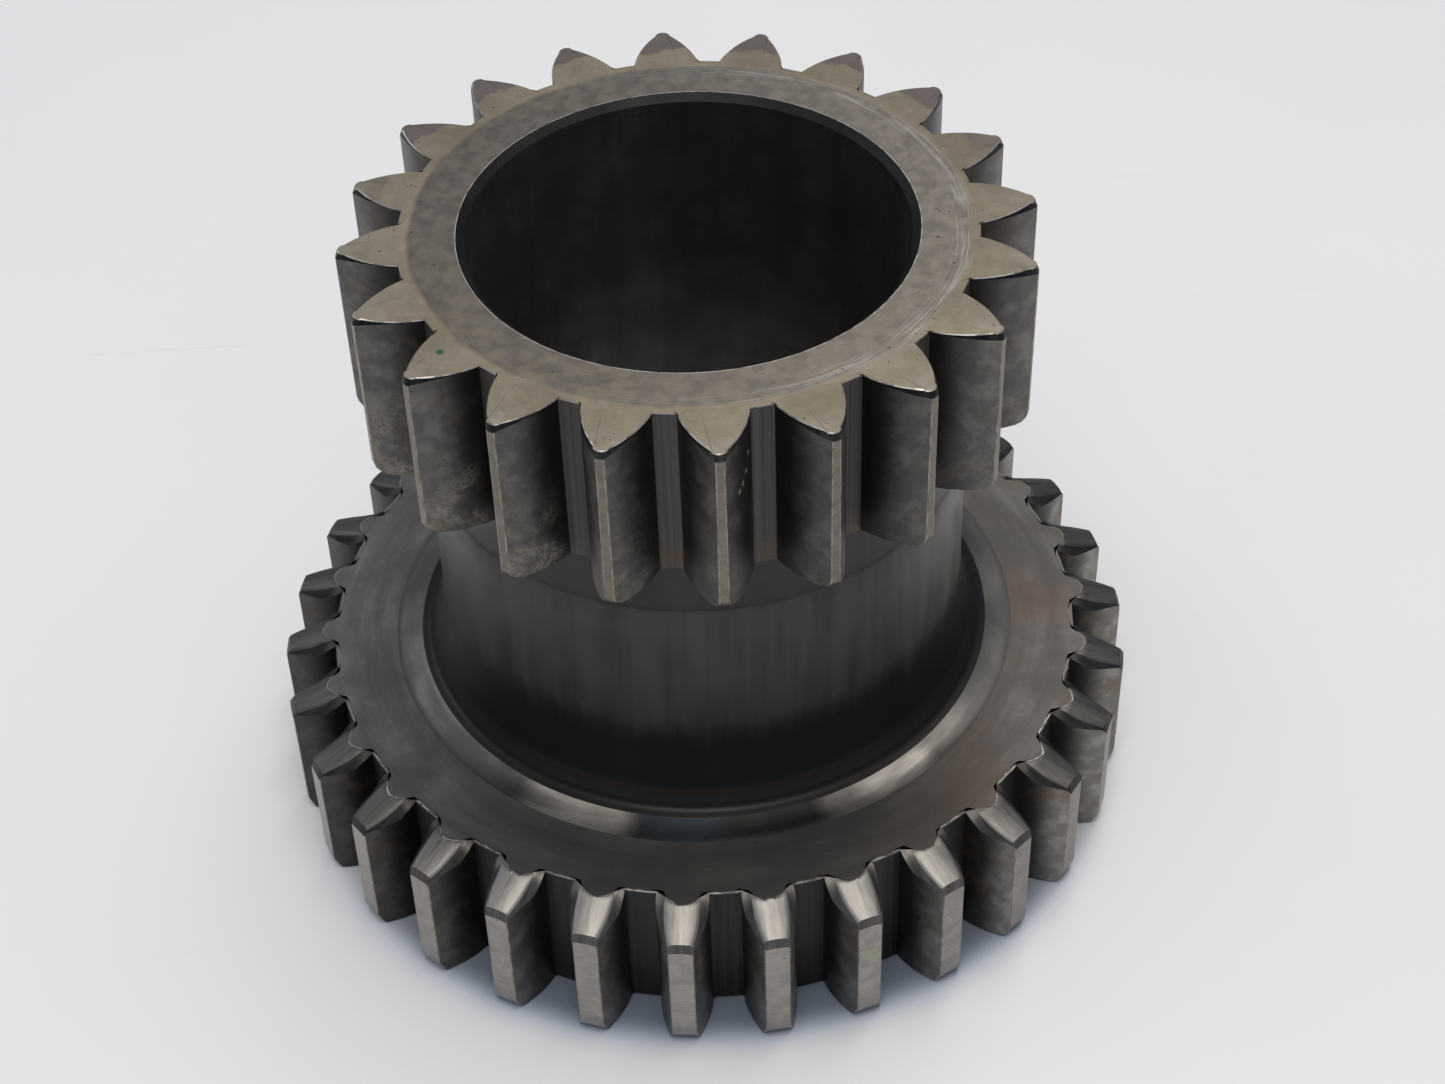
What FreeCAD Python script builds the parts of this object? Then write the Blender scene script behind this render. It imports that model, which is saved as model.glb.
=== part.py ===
# Idler gear turned and hobbed from one piece of steel. A small spur gear stands on top,
# a long neck carries it, and a larger spur gear with rounded tooth ends is the foot.
# One plain bore runs through the whole length.
# The bore is on Z, the foot rests at Z = 0 and the small gear is up. Millimetres.

import FreeCAD, Part
import os
import Sketcher

# Driving dimensions, each in a cell of its own. Angles are in degrees. The addendum and
# dedendum of a gear are its tooth's heights outside and inside the pitch circle.
SIZES = [
    ("bore_diameter", 60.0),
    ("bore_chamfer", 1.0),
    ("tooth_module", 4.0),
    ("pressure_angle", 20.0),
    # the large gear at the foot
    ("large_teeth", 30),
    ("large_addendum", 3.25),
    ("large_dedendum", 4.5),
    ("large_tooth_thickness", 6.04),
    ("large_width", 23.0),
    ("large_bevel_depth", 0.9),
    ("large_bevel_height", 2.2),
    ("large_tip_edge_depth", 0.5),
    ("large_tip_edge_height", 1.0),
    # the upper ends of its teeth, which slope down outward and are rounded sideways
    ("crown_length", 5.65),
    ("crown_slope", 21.0),
    ("crown_cut_length", 7.05),
    ("crown_flat_inner", 3.0),
    ("crown_flat_outer", 0.1),
    ("crown_shoulder_radius", 1.5),
    ("crown_side_slope", 70.0),
    ("crown_cut_depth", 4.0),
    ("crown_cut_lift", 0.03),
    # the neck, set in from the roots of the small gear, and the flare at its foot
    ("neck_step", 0.65),
    ("neck_height", 45.6),
    ("relief_step", 0.35),
    ("relief_height", 8.4),
    ("flare_radius", 33.0),
    ("flare_height", 14.1),
    ("band_diameter", 92.2),
    ("band_rise", 0.7),
    # the small gear on top
    ("small_teeth", 20),
    ("small_addendum", 7.0),
    ("small_dedendum", 1.1),
    ("small_tooth_thickness", 8.71),
    ("small_width", 26.4),
    ("small_turn", 1.9),
    ("small_bevel", 0.9),
    ("small_top_edge_depth", 0.5),
    ("small_top_edge_height", 2.0),
    # how far a cutter runs past the face that it leaves by
    ("cutter_run_out", 1.0),
]

# A tooth flank is drawn as this many arcs through points of its involute.
FLANK_ARCS = 2

# Where the blank's section stands round the bore, in degrees. It is in a tooth space of
# both gears, so the seam of the round faces crosses no tooth.
SECTION_TURN = 29.4

# Sketcher's numbers for the origin point and for its two axes.
ORIGIN = -1
ACROSS = -1
UP = -2

doc = FreeCAD.newDocument("IdlerGear")
sheet = doc.addObject("Spreadsheet::Sheet", "Sizes")


def fill_sheet():
    """Write every driving dimension in a cell, under its alias."""
    for row, (alias, size) in enumerate(SIZES, start=1):
        sheet.set(f"A{row}", alias)
        sheet.set(f"B{row}", str(size))
        sheet.setAlias(f"B{row}", alias)
    doc.recompute()


def cell(alias):
    """A cell, as an expression names it."""
    return f"{sheet.Name}.{alias}"


def degrees(alias):
    return f"({cell(alias)} * 1 deg)"


def value(expression):
    """What an expression comes to now."""
    result = sheet.evalExpression(str(expression))
    return float(getattr(result, "Value", result))


def origin_feature(body, role):
    """One of the body's own origin planes or axes."""
    return next(item for item in body.Origin.OriginFeatures if item.Role == role)


def new_sketch(body, name, role, height):
    """A sketch on an origin plane, moved along that plane's normal."""
    sketch = body.newObject("Sketcher::SketchObject", name)
    sketch.AttachmentSupport = [(origin_feature(body, role), "")]
    sketch.MapMode = "FlatFace"
    sketch.setExpression("AttachmentOffset.Base.z", height)
    doc.recompute()
    return sketch


def point(place):
    return FreeCAD.Vector(value(place[0]), value(place[1]), 0)


def pin(sketch, edge, end, place):
    """Bind one point of the sketch to the two expressions of its place."""
    for kind, axis, expression in (("DistanceX", UP, place[0]), ("DistanceY", ACROSS, place[1])):
        distance = value(expression)
        if abs(distance) < 1e-7:
            sketch.addConstraint(Sketcher.Constraint("PointOnObject", edge, end, axis))
            continue
        constraint = Sketcher.Constraint(kind, ORIGIN, 1, edge, end, distance)
        index = sketch.addConstraint(constraint)
        sketch.setExpression(f"Constraints[{index}]", expression)


def add_step(sketch, start, step):
    """Add the line or arc that ends at a corner. It gives the edge and its two ends."""
    end = point(step[0])
    if len(step) == 1:
        return sketch.addGeometry(Part.LineSegment(start, end)), 1, 2
    through = point(step[1])
    if (through - start).cross(end - through).z > 0:
        return sketch.addGeometry(Part.Arc(start, through, end)), 1, 2
    return sketch.addGeometry(Part.Arc(end, through, start)), 2, 1


def draw_outline(sketch, steps):
    """Draw a closed outline. A step is a corner that a line reaches, or a corner and
    a point on the way where an arc reaches it."""
    edges = [add_step(sketch, point(steps[n - 1][0]), step) for n, step in enumerate(steps)]
    for n, (edge, start, end) in enumerate(edges):
        last_edge, _, last_end = edges[n - 1]
        sketch.addConstraint(Sketcher.Constraint("Coincident", last_edge, last_end, edge, start))
    for (edge, start, end), step in zip(edges, steps):
        pin(sketch, edge, end, step[0])
        if len(step) == 2:
            way_point = sketch.addGeometry(Part.Point(point(step[1])), True)
            pin(sketch, way_point, 1, step[1])
            sketch.addConstraint(Sketcher.Constraint("PointOnObject", way_point, 1, edge))
    doc.recompute()


def pitch_radius(gear):
    return f"({cell(gear + '_teeth')} * {cell('tooth_module')} / 2)"


def base_radius(gear):
    """Radius of the circle that the gear's involutes start from."""
    return f"({pitch_radius(gear)} * cos({degrees('pressure_angle')}))"


def tip_radius(gear):
    return f"({pitch_radius(gear)} + {cell(gear + '_addendum')})"


def root_radius(gear):
    return f"({pitch_radius(gear)} - {cell(gear + '_dedendum')})"


# Heights of the faces above the foot, and the neck's radius.
FLANGE_TOP = cell("large_width")
SMALL_BOTTOM = f"({FLANGE_TOP} + {cell('neck_height')})"
SMALL_TOP = f"({SMALL_BOTTOM} + {cell('small_width')})"
NECK = f"({root_radius('small')} - {cell('neck_step')})"


def crown_height(place):
    """Height of the sloping tooth ends of the large gear at a distance from the axis."""
    length = f"({place} - {tip_radius('large')} + {cell('crown_length')})"
    return f"({FLANGE_TOP} - {length} * tan({degrees('crown_slope')}))"


def flare_point(share):
    """A point of the hollow flare at the foot of the neck, by its share of the way down."""
    flare = cell("flare_radius")
    drop = f"({share} * ({cell('flare_height')} - {cell('band_rise')}))"
    place = f"{NECK} + {flare} - sqrt({flare} ^ 2 - {drop} ^ 2)"
    return place, f"{FLANGE_TOP} + {cell('flare_height')} - {drop}"


def add_blank(body):
    """The turned blank: half of its section, swept round the bore."""
    bore = f"({cell('bore_diameter')} / 2)"
    mouth = f"{bore} + {cell('bore_chamfer')}"
    large_tip = tip_radius("large")
    large_edge = f"({large_tip} - {cell('large_tip_edge_depth')})"
    relief = f"{NECK} - {cell('relief_step')}"
    relief_bottom = f"{SMALL_BOTTOM} - {cell('relief_height')}"
    small_tip = tip_radius("small")
    section = new_sketch(body, "BlankSection", "XZ_Plane", "0")
    upright = FreeCAD.Vector(0, 1, 0)
    section.AttachmentOffset = FreeCAD.Placement(FreeCAD.Vector(), upright, SECTION_TURN)
    draw_outline(section, [
        ((mouth, "0"),),
        ((f"{large_tip} - {cell('large_bevel_depth')}", "0"),),
        ((large_tip, cell("large_bevel_height")),),
        ((large_tip, f"{crown_height(large_edge)} - {cell('large_tip_edge_height')}"),),
        ((large_edge, crown_height(large_edge)),),
        ((f"{large_tip} - {cell('crown_length')}", FLANGE_TOP),),
        ((f"{cell('band_diameter')} / 2", FLANGE_TOP),),
        (flare_point(1),),
        (flare_point(0), flare_point(0.5)),
        ((NECK, relief_bottom),),
        ((relief, relief_bottom),),
        ((relief, SMALL_BOTTOM),),
        ((f"{small_tip} - {cell('small_bevel')}", SMALL_BOTTOM),),
        ((small_tip, f"{SMALL_BOTTOM} + {cell('small_bevel')}"),),
        ((small_tip, f"{SMALL_TOP} - {cell('small_top_edge_height')}"),),
        ((f"{small_tip} - {cell('small_top_edge_depth')}", SMALL_TOP),),
        ((mouth, SMALL_TOP),),
        ((bore, f"{SMALL_TOP} - {cell('bore_chamfer')}"),),
        ((bore, cell("bore_chamfer")),),
    ])
    blank = body.newObject("PartDesign::Revolution", "Blank")
    blank.Profile = section
    blank.ReferenceAxis = (origin_feature(body, "Z_Axis"), [""])
    blank.Angle = 360
    doc.recompute()


def involute(angle):
    """Involute function of an angle, as a plain number."""
    return f"(tan({angle}) - {angle} / 1 rad)"


def tooth_angle(gear, place):
    """Half of the angle that a tooth takes at a distance from the axis."""
    at_pitch = f"{cell(gear + '_tooth_thickness')} / ({cell(gear + '_teeth')} * {cell('tooth_module')})"
    there = f"acos({base_radius(gear)} / {place})"
    return f"(({at_pitch} + {involute(degrees('pressure_angle'))} - {involute(there)}) * 1 rad)"


def half_pitch(gear):
    return f"(180 deg / {cell(gear + '_teeth')})"


def gap_corner(gear, turn, side, distance, involute_at=None):
    """A point on one side of a tooth space, side -1 or 1, at a distance from the axis."""
    half_gap = f"({half_pitch(gear)} - {tooth_angle(gear, involute_at or distance)})"
    angle = f"({turn} + {side} * {half_gap})"
    return f"{distance} * cos({angle})", f"{distance} * sin({angle})"


def on_centre(distance, turn):
    return f"{distance} * cos({turn})", f"{distance} * sin({turn})"


def gap_outline(gear, turn):
    """Section of one tooth space: its root, two involute flanks and an end in the open."""
    root = root_radius(gear)
    base = base_radius(gear)
    outer = f"({tip_radius(gear)} + {cell('cutter_run_out')})"
    undercut = value(root) < value(base)
    start = base if undercut else root
    ways = [f"({start} + ({outer} - {start}) * {n} / {2 * FLANK_ARCS})" for n in range(2 * FLANK_ARCS)]
    ways.append(outer)

    def corner(side, distance):
        return gap_corner(gear, turn, side, distance)

    steps = [(gap_corner(gear, turn, 1, root, start), on_centre(root, turn))]
    if undercut:
        steps.append((corner(1, base),))
    for n in range(2, len(ways), 2):
        steps.append((corner(1, ways[n]), corner(1, ways[n - 1])))
    steps.append((corner(-1, outer), on_centre(outer, turn)))
    for n in range(len(ways) - 2, 0, -2):
        steps.append((corner(-1, ways[n - 1]), corner(-1, ways[n])))
    if undercut:
        steps.append((gap_corner(gear, turn, -1, root, start),))
    return steps


def repeat_round(body, cuts, name, count):
    """Repeat cuts round the bore, and see that the copies have cut too."""
    before = cuts[-1].Shape.Volume
    pattern = body.newObject("PartDesign::PolarPattern", name)
    pattern.Originals = cuts
    pattern.Axis = (origin_feature(body, "Z_Axis"), [""])
    pattern.Angle = 360
    pattern.setExpression("Occurrences", count)
    body.Tip = pattern
    doc.recompute()
    if pattern.Shape.Volume >= before:
        raise RuntimeError(f"{name} cut nothing")


def cut_teeth(body, gear, turn, top):
    """Cut one tooth space down through a gear, and repeat it."""
    run_out = cell("cutter_run_out")
    before = body.Shape.Volume
    sketch = new_sketch(body, f"{gear.title()}Gap", "XY_Plane", f"{top} + {run_out}")
    draw_outline(sketch, gap_outline(gear, turn))
    gap = body.newObject("PartDesign::Pocket", f"{gear.title()}ToothSpace")
    gap.Profile = sketch
    gap.setExpression("Length", f"{cell(gear + '_width')} + 2 * {run_out}")
    doc.recompute()
    if gap.Shape.Volume >= before:
        raise RuntimeError(f"the {gear} tooth space cut nothing")
    repeat_round(body, [gap], f"{gear.title()}Teeth", cell(f"{gear}_teeth"))


def crown_section(body, name, side):
    """What one cut takes from the end of a tooth, on side -1 or 1 of its middle: all
    outside a round shoulder and a steep side. A hair's breadth over the sloping end
    keeps the middle of that end as it was turned."""
    start = f"({tip_radius('large')} - {cell('crown_cut_length')})"
    flat_taper = f"({cell('crown_flat_inner')} - {cell('crown_flat_outer')}) / 2"
    taper = f"atan({flat_taper} / {cell('crown_cut_length')})"
    sketch = new_sketch(body, name, "YZ_Plane", start)
    sketch.setExpression("AttachmentOffset.Base.y", f"{crown_height(start)} + {cell('crown_cut_lift')}")
    sketch.setExpression("AttachmentOffset.Rotation.Roll", degrees("crown_slope"))
    sketch.setExpression("AttachmentOffset.Rotation.Pitch", f"{-side} * {taper}")

    flat = f"{cell('crown_flat_inner')} / 2"
    shoulder = cell("crown_shoulder_radius")
    slope = degrees("crown_side_slope")
    drop = f"{shoulder} * (1 - cos({slope}))"
    edge = f"{flat} + {shoulder} * sin({slope})"
    middle = f"{flat} + {shoulder} * sin({slope} / 2)"
    depth = cell("crown_cut_depth")
    width = f"{edge} + ({depth} - {drop}) / tan({slope})"
    clear = cell("cutter_run_out")
    draw_outline(sketch, [
        ((f"{side} * ({flat})", "0"),),
        ((f"{side} * ({edge})", f"-({drop})"),
         (f"{side} * ({middle})", f"-{shoulder} * (1 - cos({slope} / 2))")),
        ((f"{side} * ({width})", f"-{depth}"),),
        ((f"{side} * ({width})", clear),),
        ((f"{side} * ({flat})", clear),),
    ])
    return sketch


def round_tooth_ends(body):
    """Round the upper end of a large tooth with a cut on each side, and repeat them."""
    reach = f"({cell('crown_cut_length')} + {cell('cutter_run_out')})"
    cuts = []
    for name, side in (("ToothEndLeft", -1), ("ToothEndRight", 1)):
        before = body.Tip.Shape.Volume
        cut = body.newObject("PartDesign::Pocket", name)
        cut.Profile = crown_section(body, f"{name}Section", side)
        cut.setExpression("Length", f"{reach} / cos({degrees('crown_slope')})")
        cut.Reversed = True
        doc.recompute()
        if cut.Shape.Volume >= before:
            raise RuntimeError(f"{name} cut nothing")
        cuts.append(cut)
    repeat_round(body, cuts, "ToothEnds", cell("large_teeth"))


def make_gear():
    body = doc.addObject("PartDesign::Body", "IdlerGearBody")
    body.Label = "idler_gear"
    doc.recompute()
    add_blank(body)
    cut_teeth(body, "large", half_pitch("large"), FLANGE_TOP)
    round_tooth_ends(body)
    small_turn = f"({half_pitch('small')} + {degrees('small_turn')})"
    cut_teeth(body, "small", small_turn, SMALL_TOP)
    return body


def check_document():
    """Stop where an object of the document has failed."""
    for item in doc.Objects:
        if "Invalid" in item.State or "Error" in item.State:
            raise RuntimeError(f"{item.Name}: {item.State}")


def export(body):
    shape = body.Shape
    if shape.isNull() or not shape.isValid() or len(shape.Solids) != 1:
        raise RuntimeError("the gear is not one sound solid")
    os.makedirs("parts", exist_ok=True)
    shape.exportStep(os.path.join("parts", f"{body.Label}.step"))
    print(f"{body.Label}: {len(shape.Faces)} faces, {shape.Volume / 1000:.1f} cm3")


fill_sheet()
gear_body = make_gear()
doc.recompute()
check_document()
export(gear_body)
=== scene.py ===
import math

import bmesh
import bpy
from mathutils import Matrix, Vector, noise


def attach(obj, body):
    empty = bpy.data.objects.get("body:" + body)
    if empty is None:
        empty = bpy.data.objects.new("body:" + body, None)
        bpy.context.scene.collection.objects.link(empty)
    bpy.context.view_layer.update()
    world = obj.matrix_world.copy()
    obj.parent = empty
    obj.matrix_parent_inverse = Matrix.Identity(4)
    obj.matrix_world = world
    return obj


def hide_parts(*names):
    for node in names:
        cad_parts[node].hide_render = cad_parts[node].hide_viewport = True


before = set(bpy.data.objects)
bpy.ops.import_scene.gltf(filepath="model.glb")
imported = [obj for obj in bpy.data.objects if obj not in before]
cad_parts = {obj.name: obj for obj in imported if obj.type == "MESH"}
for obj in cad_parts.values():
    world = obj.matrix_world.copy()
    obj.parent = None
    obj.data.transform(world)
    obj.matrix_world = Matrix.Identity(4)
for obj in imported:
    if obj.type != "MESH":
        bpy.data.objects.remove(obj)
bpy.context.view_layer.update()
MM = 0.001


# The bench and the room. The gear stands on a scratched white bench top, under a bright
# ceiling, and the side of the room behind the camera is dark. Surface patterns here and
# on the steel are built from the distance round, out from and along the bore.

class Finish:
    """A material whose patterns are sized in millimetres, on Object coordinates."""

    def __init__(self, name, metallic=1.0):
        self.material = bpy.data.materials.new(name)
        self.material.use_nodes = True
        self.tree = self.material.node_tree
        self.shader = self.tree.nodes["Principled BSDF"]
        self.shader.inputs["Metallic"].default_value = metallic
        where = self.tree.nodes.new("ShaderNodeTexCoord").outputs["Object"]
        self.place = self.vector("SCALE", where, scale=1000.0)
        flat = self.vector("MULTIPLY", self.place, (1, 1, 0))
        self.radius = self.vector("LENGTH", flat)
        self.outward = self.vector("NORMALIZE", flat)
        axes = self.tree.nodes.new("ShaderNodeSeparateXYZ")
        self.feed(axes.inputs[0], self.place)
        self.across, self.back, self.height = axes.outputs
        self.depth_so_far = None

    def feed(self, socket, value):
        if isinstance(value, bpy.types.NodeSocket):
            self.tree.links.new(value, socket)
        else:
            socket.default_value = value

    def vector(self, operation, first, second=None, scale=None):
        node = self.tree.nodes.new("ShaderNodeVectorMath")
        node.operation = operation
        self.feed(node.inputs[0], first)
        if second is not None:
            self.feed(node.inputs[1], second)
        if scale is not None:
            self.feed(node.inputs["Scale"], scale)
        return node.outputs["Value" if operation == "LENGTH" else "Vector"]

    def maths(self, operation, first, second=0.0):
        node = self.tree.nodes.new("ShaderNodeMath")
        node.operation = operation
        self.feed(node.inputs[0], first)
        self.feed(node.inputs[1], second)
        return node.outputs[0]

    def both(self, *masks):
        """Where every mask holds."""
        result = masks[0]
        for mask in masks[1:]:
            result = self.maths("MULTIPLY", result, mask)
        return result

    def rise(self, value, start, end):
        """From 0 at the start to 1 at the end, evenly rounded, and level beyond."""
        node = self.tree.nodes.new("ShaderNodeMapRange")
        node.interpolation_type = "SMOOTHSTEP"
        self.feed(node.inputs["Value"], value)
        flip = start > end
        node.inputs["From Min"].default_value = end if flip else start
        node.inputs["From Max"].default_value = start if flip else end
        node.inputs["To Min"].default_value = 1.0 if flip else 0.0
        node.inputs["To Max"].default_value = 0.0 if flip else 1.0
        return node.outputs["Result"]

    def ring_mask(self, value, middle, half_width):
        """A line at one value, faded on both sides."""
        return self.both(self.rise(value, middle - half_width, middle),
                         self.rise(value, middle + half_width, middle))

    def spot(self, centre, reach):
        """1 near a point in millimetres, 0 from the reach on."""
        away = self.vector("LENGTH", self.vector("SUBTRACT", self.place, centre))
        return self.rise(away, reach, reach * 0.35)

    def grain(self, vector, detail, roughness=0.55):
        node = self.tree.nodes.new("ShaderNodeTexNoise")
        self.feed(node.inputs["Vector"], vector)
        node.inputs["Scale"].default_value = 1.0
        node.inputs["Detail"].default_value = detail
        node.inputs["Roughness"].default_value = roughness
        return node.outputs["Fac"]

    def clouds(self, size, detail=4.0, seed=0.0):
        """Blotches of about this size."""
        moved = self.vector("ADD", self.place, (seed, seed * 0.7, seed * 1.3))
        return self.grain(self.vector("SCALE", moved, scale=1.0 / size), detail)

    def marks(self, along, round_length, spacing, detail=3.0):
        """Fine tool marks. They change quickly along one measure, such as the radius, and
        slowly round the bore."""
        swing = self.vector("SCALE", self.outward, scale=60.0 / round_length)
        rise = self.tree.nodes.new("ShaderNodeCombineXYZ")
        self.feed(rise.inputs["Z"], self.maths("DIVIDE", along, spacing))
        return self.grain(self.vector("ADD", swing, rise.outputs[0]), detail)

    def mix(self, share, under, over):
        node = self.tree.nodes.new("ShaderNodeMix")
        node.data_type = "RGBA"
        self.feed(node.inputs["Factor"], share)
        self.feed(node.inputs["A"], self.colour_of(under))
        self.feed(node.inputs["B"], self.colour_of(over))
        return node.outputs["Result"]

    @staticmethod
    def colour_of(value):
        return value if isinstance(value, bpy.types.NodeSocket) else (*value, 1.0)

    def scaled(self, mask, low, high):
        """A number that goes from low to high as a mask goes from 0 to 1."""
        number = self.maths("MULTIPLY_ADD", mask, high - low)
        number.node.inputs[2].default_value = low
        return number

    def shade(self, colour, mask, low, high):
        """Darken or lighten a colour by a mask, from one factor to another."""
        return self.vector("SCALE", colour, scale=self.scaled(mask, low, high))

    def emboss(self, height, depth):
        """Add relief: a mask, and its depth in millimetres."""
        node = self.tree.nodes.new("ShaderNodeBump")
        node.inputs["Strength"].default_value = 1.0
        node.inputs["Distance"].default_value = depth * MM
        self.feed(node.inputs["Height"], height)
        if self.depth_so_far:
            self.feed(node.inputs["Normal"], self.depth_so_far)
        self.depth_so_far = node.outputs[0]
        self.feed(self.shader.inputs["Normal"], self.depth_so_far)

    def done(self, colour, roughness):
        self.feed(self.shader.inputs["Base Color"], colour)
        self.feed(self.shader.inputs["Roughness"], roughness)
        return self.material


def bench_finish():
    """White paint with a few tan scratches. Under the front teeth it carries a painted blue
    shadow, which is painted darkest close to the gear."""
    finish = Finish("white_bench", metallic=0.0)
    tone = finish.mix(finish.clouds(140.0), (0.62, 0.62, 0.64), (0.68, 0.675, 0.69))
    stretched = finish.vector("MULTIPLY", finish.place, (0.004, 0.16, 1.0))
    scratch = finish.rise(finish.grain(stretched, 6.0, 0.7), 0.66, 0.74)
    tone = finish.mix(finish.both(scratch, 0.45), tone, (0.55, 0.50, 0.44))
    # painted shadow: a blue shade under the front teeth, and a darker contact shadow close to the gear
    painted_blue_shade = finish.both(finish.rise(finish.radius, 67.5, 59.0), finish.rise(finish.back, -15.0, -55.0))
    tone = finish.mix(finish.both(painted_blue_shade, 0.8), tone, (0.22, 0.33, 0.50))
    painted_contact_shadow = finish.both(finish.rise(finish.radius, 64.5, 59.0), finish.rise(finish.back, -15.0, -45.0))
    tone = finish.mix(finish.both(painted_contact_shadow, 0.75), tone, (0.09, 0.10, 0.12))
    return finish.done(tone, 0.42)


def lay_bench():
    sheet = bmesh.new()
    bmesh.ops.create_grid(sheet, x_segments=1, y_segments=1, size=3.0)
    mesh = bpy.data.meshes.new("bench")
    sheet.to_mesh(mesh)
    sheet.free()
    mesh.materials.append(bench_finish())
    bench = bpy.data.objects.new("bench", mesh)
    bpy.context.collection.objects.link(bench)


def set_camera():
    """The camera as it was solved from the outlines of both gears in the photograph."""
    camera = bpy.data.cameras.new("camera")
    camera.sensor_width = 36.0
    camera.lens = 68.2
    holder = bpy.data.objects.new("camera", camera)
    holder.location = (-7.15 * MM, -294.5 * MM, 313.8 * MM)
    holder.rotation_euler = (0.8155, 0.0242, -0.0578)
    bpy.context.collection.objects.link(holder)
    bpy.context.scene.camera = holder


def hang_lamp(name, place, aim, size, watts, colour):
    """A rectangular lamp that faces a point."""
    lamp = bpy.data.lights.new(name, "AREA")
    lamp.shape = "RECTANGLE"
    lamp.size, lamp.size_y = size
    lamp.energy = watts
    lamp.color = colour
    holder = bpy.data.objects.new(name, lamp)
    holder.location = place
    holder.rotation_euler = (Vector(aim) - Vector(place)).to_track_quat("-Z", "Y").to_euler()
    bpy.context.collection.objects.link(holder)


def light_room():
    """Dark walls low down, and a ceiling that is brightest overhead."""
    world = bpy.data.worlds.new("room")
    world.use_nodes = True
    nodes, links = world.node_tree.nodes, world.node_tree.links
    direction = nodes.new("ShaderNodeTexCoord").outputs["Generated"]
    axes = nodes.new("ShaderNodeSeparateXYZ")
    links.new(direction, axes.inputs[0])
    up = nodes.new("ShaderNodeValToRGB")
    low, high = up.color_ramp.elements
    low.position, low.color = 0.0, (0.075, 0.11, 0.18, 1)
    high.position, high.color = 1.0, (0.90, 0.90, 0.88, 1)
    middle = up.color_ramp.elements.new(0.45)
    middle.color = (0.26, 0.295, 0.36, 1)
    links.new(axes.outputs["Z"], up.inputs["Fac"])
    links.new(up.outputs["Color"], nodes["Background"].inputs["Color"])
    nodes["Background"].inputs["Strength"].default_value = 1.0
    bpy.context.scene.world = world
    hang_lamp("overhead", (0.10, -0.04, 1.25), (0, 0, 0.05), (1.7, 0.5), 13.0, (1.0, 0.965, 0.91))
    hang_lamp("window", (-1.2, 0.7, 0.8), (0, 0, 0.05), (0.8, 0.8), 3.2, (0.86, 0.92, 1.0))


bpy.context.scene.view_settings.view_transform = "Standard"
lay_bench()
set_camera()
light_room()


# The skin of the gear. Each gear is made as the skin of one tooth and half of the space
# on either side, pulled into shape row by row from a flat sheet and then repeated round
# the bore. Plain round parts have a column every half degree.

COLUMN_TURN = math.radians(0.5)
BORE = 30.0
BORE_MOUTH = 31.0
PRESSURE_ANGLE = math.radians(20)
MODULE = 4.0
ZONES = ["lower face", "large flank", "large land", "large floor", "tooth end", "tooth shoulder",
         "flange", "foot", "neck", "relief", "small flank", "small land", "small floor",
         "edge", "rim", "burr", "upper face", "facet", "bore mouth", "bore"]


def involute(angle):
    return math.tan(angle) - angle


class Gear:
    """A spur gear's teeth: sizes in millimetres, and how many faces of the skin lie
    across half a land, a flank and half a floor."""

    def __init__(self, name, teeth, tip, root, thickness, wear, land, flank, floor):
        self.name = name
        self.teeth = teeth
        self.tip = tip
        self.root = root
        self.thickness = thickness
        self.wear = wear
        self.corner = 0.1
        self.pitch_radius = teeth * MODULE / 2
        self.base = self.pitch_radius * math.cos(PRESSURE_ANGLE)
        # columns from the middle of a tooth to the middle of a space: part, share
        self.columns = [("land", n / land) for n in range(land)] + [("land", 1.0)]
        self.columns += [("flank", n / flank) for n in range(flank + 1)]
        self.columns += [("floor", (n + 1) / floor) for n in range(floor)]

    def half_angle(self, radius):
        """Half of a tooth's angle at a radius. Wear has thinned the tip a little."""
        there = math.acos(min(1.0, self.base / max(radius, self.base)))
        at_pitch = self.thickness / (2 * self.pitch_radius)
        worn = self.wear / self.tip * self.along(radius) ** 4
        return at_pitch + involute(PRESSURE_ANGLE) - involute(there) - worn

    def outline(self, column, tip=None, inset=0.0):
        """Radius and angle on the tooth's outline. The tip may be cut lower, and the
        whole outline set in."""
        tip = tip or self.tip
        part, share = self.columns[abs(column)]
        if part == "land":
            radius = tip - inset
            angle = share * (self.half_angle(tip) - (self.corner + inset) / tip)
        elif part == "flank":
            start = tip - self.corner
            radius = start - share * (start - self.root)
            angle = self.half_angle(radius) - inset / radius
            radius -= inset
        else:
            radius = self.root - inset
            start = self.half_angle(self.root)
            angle = start + share * (math.pi / self.teeth - start)
        return radius, angle if column > 0 else -angle

    def along(self, radius):
        """How far out on the tooth: 0 at the root, 1 at the tip."""
        return max(0.0, min(1.0, (radius - self.root) / (self.tip - self.root)))

    def span(self):
        """Column numbers from the middle of one space to the middle of the next."""
        half = len(self.columns) - 1
        return range(-half, half + 1)

    def zone(self, column):
        """What the face between a column and the next one belongs to."""
        near = min(abs(column), abs(column + 1))
        part, share = self.columns[near]
        if part == "land":
            return "edge" if share == 1.0 else f"{self.name} land"
        if part == "flank" and share < 1.0:
            return f"{self.name} flank"
        return f"{self.name} floor"


small_gear = Gear("small", teeth=20, tip=47.0, root=38.9, thickness=8.71, wear=0.27,
                  land=3, flank=11, floor=3)
large_gear = Gear("large", teeth=30, tip=63.247, root=55.5, thickness=6.04, wear=0.0,
                  land=4, flank=14, floor=5)


def polar(radius, angle, height):
    return Vector((radius * math.cos(angle), radius * math.sin(angle), height))


def ring(radius, height, zone, turn=COLUMN_TURN, twist=0.0):
    """A row of the skin on a plain circle."""
    return zone, lambda column: polar(radius, column * turn + twist, height)


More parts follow.
